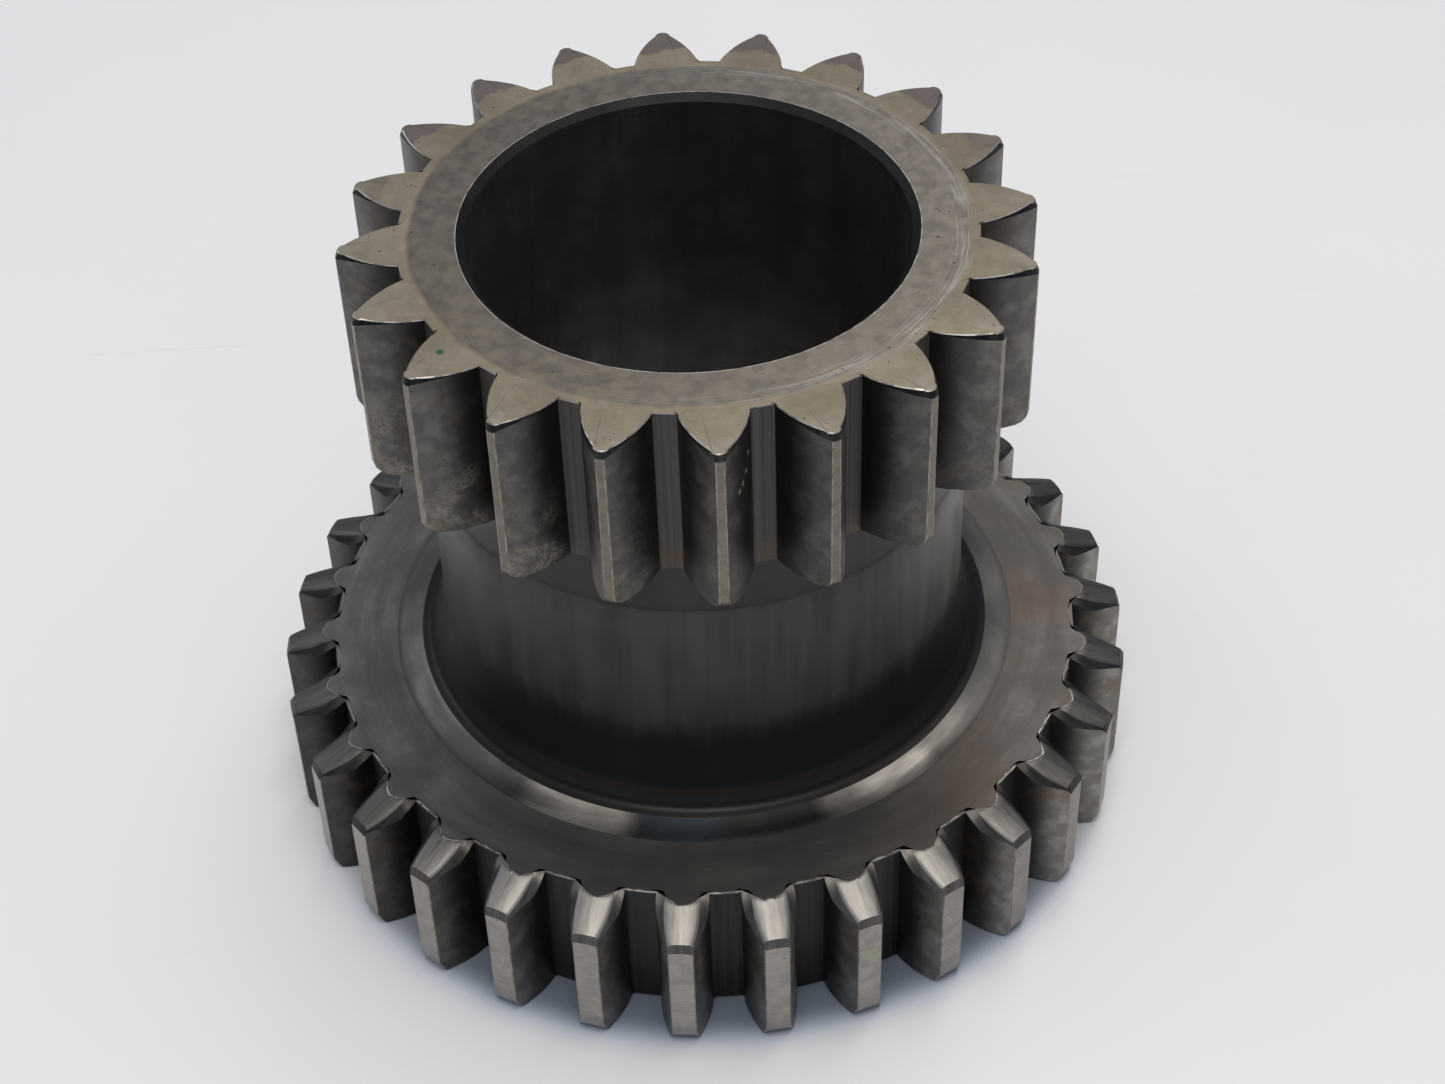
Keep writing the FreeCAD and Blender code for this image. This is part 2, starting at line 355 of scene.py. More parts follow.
def pull_skin(span, rows):
    """A flat sheet pulled to shape. The face between two rows takes the zone of the
    second of them."""
    skin = bmesh.new()
    zone_layer = skin.faces.layers.int.new("zone")
    columns = list(span)
    sheet = bmesh.ops.create_grid(skin, x_segments=len(columns) - 1, y_segments=len(rows) - 1, size=1)
    in_order = sorted(sheet["verts"], key=lambda vert: (round(vert.co.y, 5), vert.co.x))
    seat = {vert: divmod(number, len(columns)) for number, vert in enumerate(in_order)}
    for face in skin.faces:
        zone = rows[max(seat[vert][0] for vert in face.verts)][0]
        column = columns[min(seat[vert][1] for vert in face.verts)]
        face[zone_layer] = ZONES.index(zone(column) if callable(zone) else zone)
    for vert, (row, column) in seat.items():
        vert.co = rows[row][1](columns[column]) * MM
    return skin


def repeat_skin(skin, count, turn=0.0):
    """Repeat a skin round the bore, and turn the whole."""
    everything = skin.verts[:] + skin.edges[:] + skin.faces[:]
    bmesh.ops.spin(skin, geom=everything, cent=(0, 0, 0), axis=(0, 0, 1),
                   angle=math.tau * (count - 1) / count, steps=count - 1, use_duplicate=True)
    bmesh.ops.rotate(skin, verts=skin.verts[:], cent=(0, 0, 0), matrix=Matrix.Rotation(turn, 3, "Z"))
    return skin


# The large gear at the foot: hobbed teeth whose upper ends were rounded on a tooth
# chamfering machine, so that a mating gear slides in. An end slopes down outward. It is
# arched across, and turns over a tight shoulder into a steep side.

# The flange's face, and the slope of the tooth ends, which starts at this radius.
FLANGE = 23.0
END_START = 57.6
END_SLOPE = math.tan(math.radians(21))
# Across an end: the arch, the round of its shoulder, and its side, set in from the flank
# by this much at the root and at the tip.
ARCH_RADIUS = 7.5
SHOULDER_RADIUS = 0.9
SHOULDER_SHARE = 0.2
SIDE_ANGLE = math.radians(50)
SIDE_INSET = (1.5, 0.12)
# The cutter left the metal on its way in. The flange's face reaches out over each tooth
# as a short tongue, and stands a little over the floors.
RUN_OUT_START = 58.1
RUN_OUT = 2.6
TONGUE_RADIUS = 4.8
TONGUE_FOOT = END_START - 0.35
TONGUE_WIDTH = 2.2
TONGUE_LEAST = 0.28
LIP = 0.12
BURR_WIDTH = 0.22
# Small bevels at the tips, above and below.
TIP_BEVEL = 62.65
TIP_BEVEL_HEIGHT = 1.3
BEVEL_FALL = 2.2
FOOT_BEVEL = 2.2
# Where this skin meets the neck's.
SEAM = 54.4
LARGE_TURN = COLUMN_TURN / 2


def tapered(x, inner, outer):
    """A size that changes evenly from the root circle to the tip circle."""
    return inner + large_gear.along(x) * (outer - inner)


def shoulder_place(x):
    """Half the arch's width at the start and at the end of the shoulder."""
    end = x * math.sin(large_gear.half_angle(x)) - tapered(x, *SIDE_INSET)
    start = (end - SHOULDER_RADIUS * math.sin(SIDE_ANGLE)) / (1 - SHOULDER_RADIUS / ARCH_RADIUS)
    return start, end


def arch_drop(x, y):
    """How far the end has dropped at a distance y from the tooth's middle."""
    start, end = shoulder_place(x)
    middle = min(y, start)
    drop = ARCH_RADIUS - math.sqrt(ARCH_RADIUS ** 2 - middle ** 2)
    if y > start:
        sine = start / ARCH_RADIUS
        steeper = min(math.sin(SIDE_ANGLE), sine + (y - start) / SHOULDER_RADIUS)
        drop += SHOULDER_RADIUS * (math.sqrt(1 - sine ** 2) - math.sqrt(1 - steeper ** 2))
    return drop + max(0.0, y - end) * math.tan(SIDE_ANGLE)


def end_height(x, y):
    """Height of a tooth's rounded end. Its cutter ran out towards the root circle."""
    ridge = FLANGE - (x - END_START) * END_SLOPE
    height = min(FLANGE, ridge - arch_drop(x, abs(y)))
    uncut = max(0.0, min(1.0, (RUN_OUT_START - x) / RUN_OUT))
    return height + uncut * (FLANGE - 0.03 - height)


def cut_width(x):
    """Half the width at which the flange's face cuts off the arch."""
    over = max(0.0, (END_START - x) * END_SLOPE)
    return max(TONGUE_LEAST, math.sqrt(TONGUE_RADIUS ** 2 - (TONGUE_RADIUS - over) ** 2))


def large_plan(column, reach):
    """A place on the large tooth's outline, drawn in so that its tip is at the reach."""
    radius, angle = large_gear.outline(column)
    root = large_gear.root
    if radius > root:
        whole = large_gear.tip - large_gear.corner - root
        radius = root + (radius - root) * (reach - root) / whole
    return radius * math.cos(angle), abs(radius * math.sin(angle))


# Rows over an end: the share of the way from the steep side to the middle, and how far
# out the row goes. The flange's line follows from the last.
END_ROWS = [(0.0, 62.7), (0.1, 62.65), (0.2, 62.6), (0.42, 62.4), (0.64, 62.2), (0.84, 61.8), (0.97, 61.4)]
LINE_REACH = END_ROWS[-1][1]


def end_row(share, reach):
    def place(column):
        part, along = large_gear.columns[abs(column)]
        side = 1 if column > 0 else -1
        x, y = large_plan(column, reach)
        if part == "floor":
            radius, angle = large_gear.outline(column)
            return polar(radius - 0.05 * share, angle, FLANGE - LIP + 0.10 * share)
        start, end = shoulder_place(reach if part == "land" else x)
        if share <= SHOULDER_SHARE:
            across = end - (end - start) * share / SHOULDER_SHARE
        else:
            inner = cut_width(reach if part == "land" else x)
            across = start - (start - inner) * (share - SHOULDER_SHARE) / (1 - SHOULDER_SHARE)
        if part == "land":
            x, across = reach, across * along
        return Vector((x, side * across, end_height(x, across)))
    return ("tooth shoulder" if share == 0.0 else "tooth end"), place


def side_top(column):
    """Where a tooth's side ends, under the steep side of its rounded end."""
    part = large_gear.columns[abs(column)][0]
    radius, angle = large_gear.outline(column)
    place = polar(radius, angle, FLANGE - LIP)
    if part == "land":
        place.z = end_height(TIP_BEVEL, place.y) - TIP_BEVEL_HEIGHT
    elif part == "flank":
        bevel = end_height(TIP_BEVEL, 0) - TIP_BEVEL_HEIGHT + BEVEL_FALL * (large_gear.tip - radius)
        place.z = min(end_height(place.x, place.y), bevel)
    return place


def flange_line(inward):
    """The line where the flange's turned face ends, moved inward by this much. It bows
    out over each tooth."""
    def place(column):
        x = large_plan(column, LINE_REACH)[0]
        side = 1 if column > 0 else -1
        if large_gear.columns[abs(column)][0] == "floor":
            radius, angle = large_gear.outline(column)
            return polar(radius - LIP / 2 - inward, angle, FLANGE)
        if x > TONGUE_FOOT:
            half = range(len(large_gear.columns))
            on_tongue = sum(large_plan(n, LINE_REACH)[0] > TONGUE_FOOT for n in half)
            y = TONGUE_WIDTH / 2 * abs(column) / on_tongue
            x = END_START - y ** 2 / (2 * TONGUE_RADIUS * END_SLOPE)
        else:
            y = cut_width(x)
        return Vector((x - inward, side * y, FLANGE))
    return place


def large_side(height, tip=None, inset=0.0):
    return large_gear.zone, lambda column: polar(*large_gear.outline(column, tip, inset), height)


def share_up(share):
    """A row on the teeth's sides, by its share of the way up to the rounded ends."""
    def place(column):
        top = side_top(column)
        top.z = FOOT_BEVEL + share * (top.z - FOOT_BEVEL)
        return top
    return large_gear.zone, place


def snapped_ring(radius, height, zone):
    """A circle on which every second column closes up to its neighbour."""
    return zone, lambda column: polar(radius, int(column / 2) * COLUMN_TURN, height)


def large_rows():
    rows = [
        snapped_ring(BORE_MOUTH, 0.0, "lower face"),
        ring(34.0, 0.0, "lower face", LARGE_TURN),
        ring(44.0, 0.0, "lower face", LARGE_TURN),
        ring(54.5, 0.0, "lower face", LARGE_TURN),
        ("lower face", lambda column: polar(*large_gear.outline(column, 62.2, 0.25), 0.0)),
        ("facet", lambda column: polar(*large_gear.outline(column, 62.42), 0.3)),
        large_side(1.2, 62.85),
        large_side(FOOT_BEVEL),
    ]
    rows += [share_up(share) for share in (0.2, 0.4, 0.6, 0.8, 0.93, 1.0)]
    rows += [end_row(share, reach) for share, reach in END_ROWS]
    rows += [
        ("tooth end", flange_line(0.0)),
        ("burr", flange_line(BURR_WIDTH)),
        ring(54.9, FLANGE, "flange", LARGE_TURN),
        snapped_ring(SEAM, FLANGE, "flange"),
    ]
    return rows


large_skin = repeat_skin(pull_skin(large_gear.span(), large_rows()), large_gear.teeth)


# The neck and the bore, turned on a lathe. A hollow flare and a small fillet bring the
# neck down to the flange, and a shallow relief stops just under the small gear, where the
# hob ran out.

# Radii and heights of the neck and its relief, and of the flare and the fillet.
NECK = 38.25
RELIEF = 37.9
FLARE_RADIUS = 33.0
FLARE_TOP = 37.1
FILLET_RADIUS = 1.5
FILLET_TOP = 24.75
BAND_OUTSIDE = 46.2
RELIEF_FOOT = 60.1
SMALL_FOOT = 68.6
SMALL_TOP = 95.0
# The small gear is turned against the large one, and the skin between them is twisted
# by the rest, so that its columns meet those of both.
SMALL_TURN = math.radians(1.9)
NECK_TWIST = SMALL_TURN - math.radians(2.0)
ROUND_SPAN = range(-12, 13)


def flare(height):
    return NECK + FLARE_RADIUS - math.sqrt(FLARE_RADIUS ** 2 - (FLARE_TOP - height) ** 2)


def fillet():
    """The small round at the foot of the flare, from its top down."""
    steep = math.asin((FLARE_TOP - FILLET_TOP) / FLARE_RADIUS)
    level = math.radians(81)
    middle = Vector((flare(FILLET_TOP) + FILLET_RADIUS * math.cos(steep),
                     FILLET_TOP + FILLET_RADIUS * math.sin(steep)))
    for step in range(6):
        angle = steep + (level - steep) * step / 5
        yield middle.x - FILLET_RADIUS * math.cos(angle), middle.y - FILLET_RADIUS * math.sin(angle)


def band_rows():
    """The shallow dished band between the flange and the fillet."""
    crease_radius, crease_height = list(fillet())[-1]
    rows = []
    for share in (0.12, 0.3, 0.5, 0.7, 0.88):
        radius = BAND_OUTSIDE + share * (crease_radius - BAND_OUTSIDE)
        sag = 0.10 * math.sin(math.pi * share)
        rows.append(ring(radius, FLANGE + share ** 1.3 * (crease_height - FLANGE) - sag, "foot"))
    return rows


def neck_rows():
    rows = [ring(radius, FLANGE, "flange") for radius in (SEAM, 52.5, 50.0, 48.0, BAND_OUTSIDE)]
    rows += band_rows()
    rows += [ring(radius, height, "neck") for radius, height in reversed(list(fillet()))]
    rows += [ring(flare(height), height, "neck") for height in (25.6, 26.8, 28.2, 30.0, 32.0, 34.0, 35.6)]
    rows += [ring(NECK, height, "neck") for height in (FLARE_TOP, 42.0, 48.0, 54.0, RELIEF_FOOT - 0.3)]
    rows += [ring(NECK - 0.12, RELIEF_FOOT, "neck"), ring(RELIEF, RELIEF_FOOT + 0.8, "relief")]
    rows += [ring(RELIEF, 65.5, "relief", twist=NECK_TWIST / 2)]
    rows += [ring(RELIEF, SMALL_FOOT, "relief", twist=NECK_TWIST)]
    return rows


def bore_rows():
    chamfer = BORE_MOUTH - BORE
    upper = SMALL_TOP - chamfer
    rows = [ring(BORE_MOUTH, SMALL_TOP, "bore mouth", twist=NECK_TWIST)]
    for height in (upper, 80.0, 60.0, 40.0, 20.0, chamfer):
        twist = NECK_TWIST * (height - chamfer) / (upper - chamfer)
        rows.append(ring(BORE, height, "bore mouth" if height == upper else "bore", twist=twist))
    return rows + [ring(BORE_MOUTH, 0.0, "bore mouth")]


neck_skin = repeat_skin(pull_skin(ROUND_SPAN, neck_rows()), 30)
bore_skin = repeat_skin(pull_skin(ROUND_SPAN, bore_rows()), 30)


# The small gear on top. Its teeth are long and pointed. The lower edge of each is rounded
# over, and a file has broken the upper edges, most at the tips.

LOWER_ROUND = 1.4
TIP_WEAR = 0.004
WEAR_TOP = 92.0
NOSE_TURN = 44
NOSE_END = 56


def small_side(height, tip=None, inset=0.0, zone=None):
    return zone or small_gear.zone, lambda column: polar(*small_gear.outline(column, tip, inset), height)


def worn_tip(height):
    """The tips are worn lower towards the foot, so the lands widen downwards."""
    return small_gear.tip - TIP_WEAR * max(0.0, WEAR_TOP - height)


def filed(column):
    """How much the file took off the upper edge: nothing at the root, 1 at the tip."""
    if small_gear.columns[abs(column)][0] == "land":
        return 1.0
    radius = small_gear.outline(column)[0]
    return small_gear.along(radius) ** (1.6 if column < 0 else 3.0)


def filed_row(drop, inset, zone, nose=None):
    """A row near the upper edge. Drop and inset are each a least and a greatest. The nose
    is the middle and the radius of the round that wear has given the tip, which turns
    this many degrees on the land and up to the flank."""
    def place(column):
        part, along = small_gear.columns[abs(column)]
        share = filed(column)
        height = SMALL_TOP - drop[0] - share * (drop[1] - drop[0])
        if nose and (part == "land" or (part == "flank" and along == 0.0)):
            middle, radius = nose
            turn = math.radians(NOSE_TURN * along if part == "land" else NOSE_END)
            across = radius * math.sin(turn) * (1 if column > 0 else -1)
            return Vector((middle + radius * math.cos(turn), across, height))
        depth = inset[0] + share * (inset[1] - inset[0])
        return polar(*small_gear.outline(column, inset=depth), height)
    return zone, place


def small_rows():
    rows = [ring(RELIEF, SMALL_FOOT, "relief"),
            small_side(SMALL_FOOT, worn_tip(SMALL_FOOT) - LOWER_ROUND, 0.25, "lower face")]
    for degrees in (0, 30, 60, 90):
        bend = math.radians(degrees)
        height = SMALL_FOOT + 0.12 + LOWER_ROUND * (1 - math.cos(bend))
        rows.append(small_side(height, worn_tip(height) - LOWER_ROUND * (1 - math.sin(bend))))
    rows += [small_side(height, worn_tip(height)) for height in (73.0, 77.0, 81.0, 85.0, 89.0, WEAR_TOP)]
    rows += [
        filed_row((0.18, 1.1), (0.0, 0.0), small_gear.zone),
        filed_row((0.12, 0.14), (0.02, 0.28), "facet", (45.52, 1.18)),
        filed_row((0.0, 0.0), (0.09, 0.40), "rim", (45.50, 1.06)),
    ]
    rows += [ring(radius, SMALL_TOP, "upper face") for radius in (38.3, 37.4, 35.5, 33.2, 31.12)]
    rows += [ring(BORE_MOUTH, SMALL_TOP, "rim")]
    return rows


small_skin = repeat_skin(pull_skin(small_gear.span(), small_rows()), small_gear.teeth, SMALL_TURN)


# Finishes of the steel. The whole part is one hardened steel, dark with old oil. It is
# bare and bright where other gears rubbed it, and brown where damp stood on it. Many
# finishes also carry painted light and shade, by side, in front and in hollows.

BRIGHT = (0.52, 0.495, 0.46)
GREY = (0.19, 0.182, 0.172)
DULL = (0.095, 0.091, 0.086)
BLACK = (0.034, 0.033, 0.032)
RUST = (0.105, 0.066, 0.04)


def pitted(finish, colour, size, amount):
    """Small dark pits."""
    pits = finish.rise(finish.clouds(size, 2.0, seed=31.0), 0.70 - amount, 0.74 - amount)
    finish.emboss(pits, -0.03)
    return finish.mix(finish.both(pits, 0.6), colour, BLACK)


def turned_finish(name, dark, light, metallic):
    """Fine circles from a lathe tool, over broad smudges."""
    finish = Finish(name, metallic)
    circles = finish.marks(finish.radius, 50.0, 0.35)
    smudges = finish.both(finish.rise(finish.marks(finish.radius, 30.0, 3.0), 0.3, 0.7),
                          finish.rise(finish.clouds(9.0, 5.0), 0.3, 0.7))
    tone = finish.mix(smudges, dark, light)
    tone = finish.shade(tone, circles, 0.85, 1.15)
    finish.emboss(circles, 0.007)
    return finish, tone, smudges


def flange_finish():
    """Turned. It is painted darkest in front, as painted shade, and brown with old rust on
    the right.
    """
    finish, tone, smudges = turned_finish("turned_flange", (0.090, 0.084, 0.078), (0.18, 0.169, 0.156), 0.75)
    fine = finish.clouds(0.7, 3.0)
    tone = finish.shade(tone, fine, 0.9, 1.1)
    # painted shade: darker in front, where the flange mirrors the dark neck
    front = finish.rise(finish.back, -20.0, -52.0)
    tone = finish.shade(tone, front, 1.05, 0.80)
    brown = finish.both(finish.rise(finish.clouds(12.0, 5.0, seed=7.0), 0.40, 0.62),
                        finish.rise(finish.across, 15.0, 50.0), 0.4)
    tone = finish.mix(brown, tone, (0.15, 0.09, 0.06))
    finish.emboss(fine, 0.012)
    return finish.done(tone, finish.scaled(smudges, 0.40, 0.30))


def foot_finish():
    """The dished band is turned smooth. It is painted darkest in front, a painted reflection of
    the dark neck, with two painted highlights and a dark blue painted reflection, and a thin
    brown line runs along the foot of the neck."""
    finish, tone, smudges = turned_finish("turned_foot", (0.10, 0.095, 0.089), (0.22, 0.207, 0.19), 0.85)
    # painted reflection: darkest in front, where the band mirrors the dark neck
    tone = finish.shade(tone, finish.rise(finish.back, -28.0, -40.0), 1.0, 0.24)
    tone = finish.mix(finish.rise(finish.radius, 45.2, 46.1), tone, (0.085, 0.079, 0.073))
    # painted highlights: two pale patches at the sides of the band, where it catches the overhead light
    for place in ((-22.0, -37.2, 23.2), (-17.5, -40.2, 23.2), (20.0, -39.8, 23.2), (25.5, -35.0, 23.2)):
        pale_patch = finish.both(finish.spot(place, 7.5), finish.rise(smudges, -0.4, 0.6), 0.8)
        tone = finish.mix(pale_patch, tone, (0.50, 0.47, 0.43))
    # painted reflection: a dark blue spot in front
    tone = finish.mix(finish.both(finish.spot((-6.0, -43.0, 23.2), 8.5), 0.5), tone, (0.04, 0.06, 0.085))
    line = finish.ring_mask(finish.radius, 41.3, 0.2)
    tone = finish.mix(finish.both(line, 0.6), tone, (0.03, 0.024, 0.02))
    return finish.done(tone, finish.scaled(smudges, 0.34, 0.24))


def oiled_finish(name, dark, light, metallic=0.55):
    """Turned, with soft stains where oil ran down it, and painted lighter on the right as
    painted light.
    """
    finish = Finish(name, metallic)
    runs = finish.marks(finish.height, 6.0, 45.0, 2.0)
    circles = finish.marks(finish.height, 40.0, 0.5)
    tone = finish.mix(finish.rise(runs, 0.3, 0.7), dark, light)
    tone = finish.mix(finish.both(finish.rise(finish.clouds(9.0), 0.4, 0.7), 0.5), tone, light)
    tone = finish.shade(tone, circles, 0.94, 1.06)
    # painted light: lighter on the right
    tone = finish.shade(tone, finish.rise(finish.across, 20.0, 38.0), 1.0, 2.4)
    finish.emboss(circles, 0.004)
    return finish, tone, runs


def relief_finish(name, dark, light):
    """The relief under the small gear, and the lower faces."""
    finish, tone, runs = oiled_finish(name, dark, light)
    return finish.done(tone, finish.scaled(runs, 0.30, 0.46))


def neck_finish():
    """The hollow of the flare is painted black, as painted shade where it mirrors the dark
    room. Its upper border is ragged and soft. Low down it is painted lighter, a painted
    highlight where it turns up, and black again in the crease, as painted shade.
    """
    finish, tone, runs = oiled_finish("neck", (0.037, 0.0355, 0.0315), (0.068, 0.065, 0.058), 0.75)
    fine = finish.marks(finish.height, 3.0, 40.0)
    border = finish.maths("ADD", finish.height, finish.scaled(fine, -2.4, 2.4))
    # painted shade: the hollow of the flare, black below a ragged border
    tone = finish.mix(finish.rise(border, 40.2, 33.6), tone, (0.012, 0.0115, 0.010))
    # painted highlight: lighter low down, where the flare turns up
    tone = finish.mix(finish.rise(finish.height, 28.0, 25.2), tone, (0.036, 0.033, 0.030))
    # painted shade: black in the crease at the foot of the fillet
    tone = finish.mix(finish.rise(finish.height, 25.0, 24.2), tone, (0.013, 0.012, 0.011))
    tone = finish.mix(finish.ring_mask(finish.height, 26.4, 0.7), tone, (0.034, 0.025, 0.019))
    return finish.done(tone, finish.scaled(runs, 0.30, 0.46))


def flank_finish(gear, root, tip):
    """Hobbed flanks: painted dark at the root, as painted shade in the spaces between teeth,
    worn grey towards the tip, and browner at the sides. Their brightness also changes by
    side, as painted light. The small gear's left ones have a pale crust low down, and one in
    front has chips."""
    finish = Finish(f"{gear}_flank", 0.6)
    out = finish.rise(finish.radius, root, tip)
    out = finish.both(out, out)
    clouds = finish.clouds(3.0, 7.0)
    fine = finish.clouds(0.8, 5.0, seed=8.0)
    streaks = finish.marks(finish.height, 0.9, 22.0)
    # painted shade: darker towards the root, in the spaces between teeth; the grey towards the tip is wear
    tone = finish.mix(out, (0.019, 0.018, 0.016), (0.085, 0.081, 0.073))
    tone = finish.mix(finish.both(finish.rise(clouds, 0.42, 0.66), out, 0.75), tone, (0.155, 0.149, 0.135))
    tone = finish.shade(tone, streaks, 0.85, 1.15)
    tone = finish.shade(tone, fine, 0.8, 1.2)
    # painted light: lighter on the right, darker elsewhere
    tone = finish.shade(tone, finish.rise(finish.across, 18.0, 50.0), 0.8, 1.5)
    sides = finish.rise(finish.maths("ABSOLUTE", finish.across), 18.0, 50.0)
    brown = finish.both(finish.rise(finish.clouds(4.5, 6.0, seed=12.0), 0.53, 0.68), sides, 0.5)
    tone = finish.mix(brown, tone, RUST)
    if gear == "large":
        # painted shade: the large flanks darker on the left
        tone = finish.shade(tone, finish.rise(finish.across, -20.0, -50.0), 1.6, 0.70)
    else:
        left = finish.rise(finish.across, 4.0, -22.0)
        # painted light: the small flanks lighter on the left
        tone = finish.shade(tone, left, 1.0, 1.35)
        speckle = finish.clouds(0.55, 6.0, seed=3.0)
        crust = finish.both(finish.rise(finish.clouds(4.5, 5.0, seed=26.0), 0.40, 0.62), left,
                            finish.rise(finish.height, 86.0, 73.0), finish.rise(finish.radius, 39.2, 41.5))
        speckled = finish.both(crust, finish.rise(speckle, 0.30, 0.62), 0.75)
        tone = finish.mix(speckled, tone, (0.25, 0.225, 0.18))
        finish.emboss(finish.both(crust, speckle), 0.06)
        for chip in ((5.2, -41.1, 90.2), (4.9, -42.1, 88.0), (4.4, -43.2, 87.0), (4.0, -44.2, 86.4)):
            tone = finish.mix(finish.spot(chip, 0.55), tone, (0.46, 0.40, 0.30))
    tone = pitted(finish, tone, 0.8, 0.0)
    finish.emboss(clouds, 0.03)
    return finish.done(tone, finish.scaled(clouds, 0.30, 0.52))


def land_finish(gear, dark, light):
    """Turned tips, rubbed smooth. On the large gear they are painted darker on the right, as
    painted shade, and one in front has a pale spot."""
    finish = Finish(f"{gear}_land", 0.85)
    circles = finish.marks(finish.height, 50.0, 0.22)
    clouds = finish.clouds(2.0, 5.0)
    tone = finish.mix(finish.rise(clouds, 0.3, 0.7), dark, light)
    tone = finish.shade(tone, circles, 0.72, 1.28)
    tone = pitted(finish, tone, 0.6, 0.0)
    finish.emboss(circles, 0.010)
    if gear == "large":
        # painted shade: darker on the right
        tone = finish.shade(tone, finish.rise(finish.across, 20.0, 55.0), 1.0, 0.72)
        pale = finish.both(finish.spot((19.5, -60.2, 13.2), 2.2), finish.rise(clouds, 0.4, 0.55), 0.7)
        tone = finish.mix(pale, tone, (0.33, 0.37, 0.24))
    return finish.done(tone, finish.scaled(clouds, 0.32, 0.46))


def floor_finish(name, dark, light):
    """Hobbed root lands, with fine lines down them. On the small gear they are brown at
    their lower ends."""
    finish = Finish(name, 0.6)
    streaks = finish.marks(finish.height, 0.7, 60.0)
    tone = finish.mix(finish.rise(streaks, 0.25, 0.75), dark, light)
    brown = finish.both(finish.rise(finish.clouds(4.0, 4.0, seed=5.0), 0.45, 0.62),
                        finish.ring_mask(finish.height, 70.0, 5.0), 0.6)
    tone = finish.mix(brown, tone, RUST)
    finish.emboss(streaks, 0.008)
    return finish.done(tone, 0.42)


def end_finish(name, dark, light, roughness):
    """Milled tooth ends, painted bright in front and darker further back, a painted highlight
    where they catch the light. The steep shoulders and the facets that a file left have the
    same look, only darker, as painted shade."""
    finish = Finish(name, 0.9)
    brushed = finish.marks(finish.radius, 0.6, 5.0)
    clouds = finish.clouds(0.9, 6.0)
    tone = finish.mix(finish.rise(brushed, 0.25, 0.75), dark, light)
    tone = finish.shade(tone, clouds, 0.85, 1.15)
    # painted highlight: bright in front, darker further back
    tone = finish.shade(tone, finish.rise(finish.back, -36.0, -58.0), 0.42, 1.25)
    finish.emboss(brushed, 0.010)
    finish.emboss(clouds, 0.010)
    return finish.done(tone, finish.scaled(clouds, roughness, roughness + 0.14))


def upper_finish():
    """The ring round the bore is grey and mottled, with scuffs near its outside. The
    tooth faces are smoother and tan, stained at the back, and one has a green speck."""
    finish = Finish("upper_face", 0.85)
    circles = finish.marks(finish.radius, 40.0, 0.3)
    mottle = finish.clouds(2.2, 7.0)
    broad = finish.clouds(12.0, 4.0, seed=6.0)
    ring_tone = finish.mix(finish.rise(mottle, 0.35, 0.65), (0.150, 0.133, 0.115), (0.195, 0.174, 0.146))
    # painted light: the ring lighter to the right
    ring_tone = finish.shade(ring_tone, finish.rise(finish.across, -30.0, 35.0), 0.85, 1.25)
    patches = finish.both(finish.rise(finish.clouds(3.5, 6.0, seed=2.0), 0.42, 0.66),
                          finish.rise(finish.back, 5.0, -32.0), 0.6)
    ring_tone = finish.mix(patches, ring_tone, (0.235, 0.20, 0.148))
    tooth_tone = finish.mix(finish.rise(broad, 0.3, 0.7), (0.215, 0.181, 0.129), (0.285, 0.243, 0.180))
    pale_patch = finish.both(finish.rise(finish.radius, 41.5, 46.0), finish.rise(mottle, 0.3, 0.6), 0.7)
    tooth_tone = finish.mix(pale_patch, tooth_tone, (0.31, 0.275, 0.222))
    tooth_tone = finish.shade(tooth_tone, finish.clouds(1.7, 6.0, seed=14.0), 0.76, 1.24)
    wavy = finish.maths("ADD", finish.radius, finish.scaled(finish.clouds(5.0, 5.0, seed=9.0), -3.5, 3.5))
    stain = finish.both(finish.rise(wavy, 41.8, 42.6), finish.rise(finish.back, 6.0, 22.0), 0.85)
    tooth_tone = finish.mix(stain, tooth_tone, (0.145, 0.122, 0.119))
    border = finish.scaled(finish.clouds(7.0, 4.0, seed=17.0), 36.9, 38.1)
    outside = finish.rise(finish.maths("SUBTRACT", finish.radius, border), -0.5, 0.4)
    tone = finish.mix(outside, ring_tone, tooth_tone)
    scuffs = finish.both(finish.rise(finish.radius, 34.8, 36.4), finish.rise(finish.radius, 38.6, 37.2),
                         finish.rise(finish.marks(finish.radius, 12.0, 0.25), 0.48, 0.62),
                         finish.rise(finish.across, -25.0, 25.0), 0.6)
    tone = finish.mix(scuffs, tone, (0.42, 0.40, 0.375))
    tone = finish.mix(finish.spot((-32.6, -24.2, 95.0), 0.7), tone, (0.02, 0.12, 0.03))
    tone = finish.shade(tone, circles, 0.93, 1.07)
    tone = finish.shade(tone, finish.clouds(0.6, 3.0), 0.93, 1.07)
    tone = pitted(finish, tone, 0.9, 0.0)
    finish.emboss(circles, 0.005)
    finish.emboss(mottle, 0.012)
    return finish.done(tone, finish.scaled(mottle, 0.36, 0.52))


def bore_finish(name, dark, light):
    """Ground once, and now dark. It is painted greyer far down and on the left, as painted
    light inside the bore.
    """
    finish = Finish(name, 0.8)
    runs = finish.marks(finish.height, 5.0, 60.0)
    clouds = finish.clouds(8.0, 6.0, seed=4.0)
    tone = finish.mix(finish.rise(clouds, 0.3, 0.8), dark, light)
    tone = finish.shade(tone, runs, 0.75, 1.25)
    # painted light: greyer on the left
    tone = finish.shade(tone, finish.rise(finish.across, 2.0, -9.0), 0.7, 1.15)
    # painted light: greyer far down
    tone = finish.shade(tone, finish.rise(finish.height, 68.0, 46.0), 1.0, 1.9)
    tone = pitted(finish, tone, 1.0, 0.0)
    return finish.done(tone, finish.scaled(runs, 0.42, 0.56))


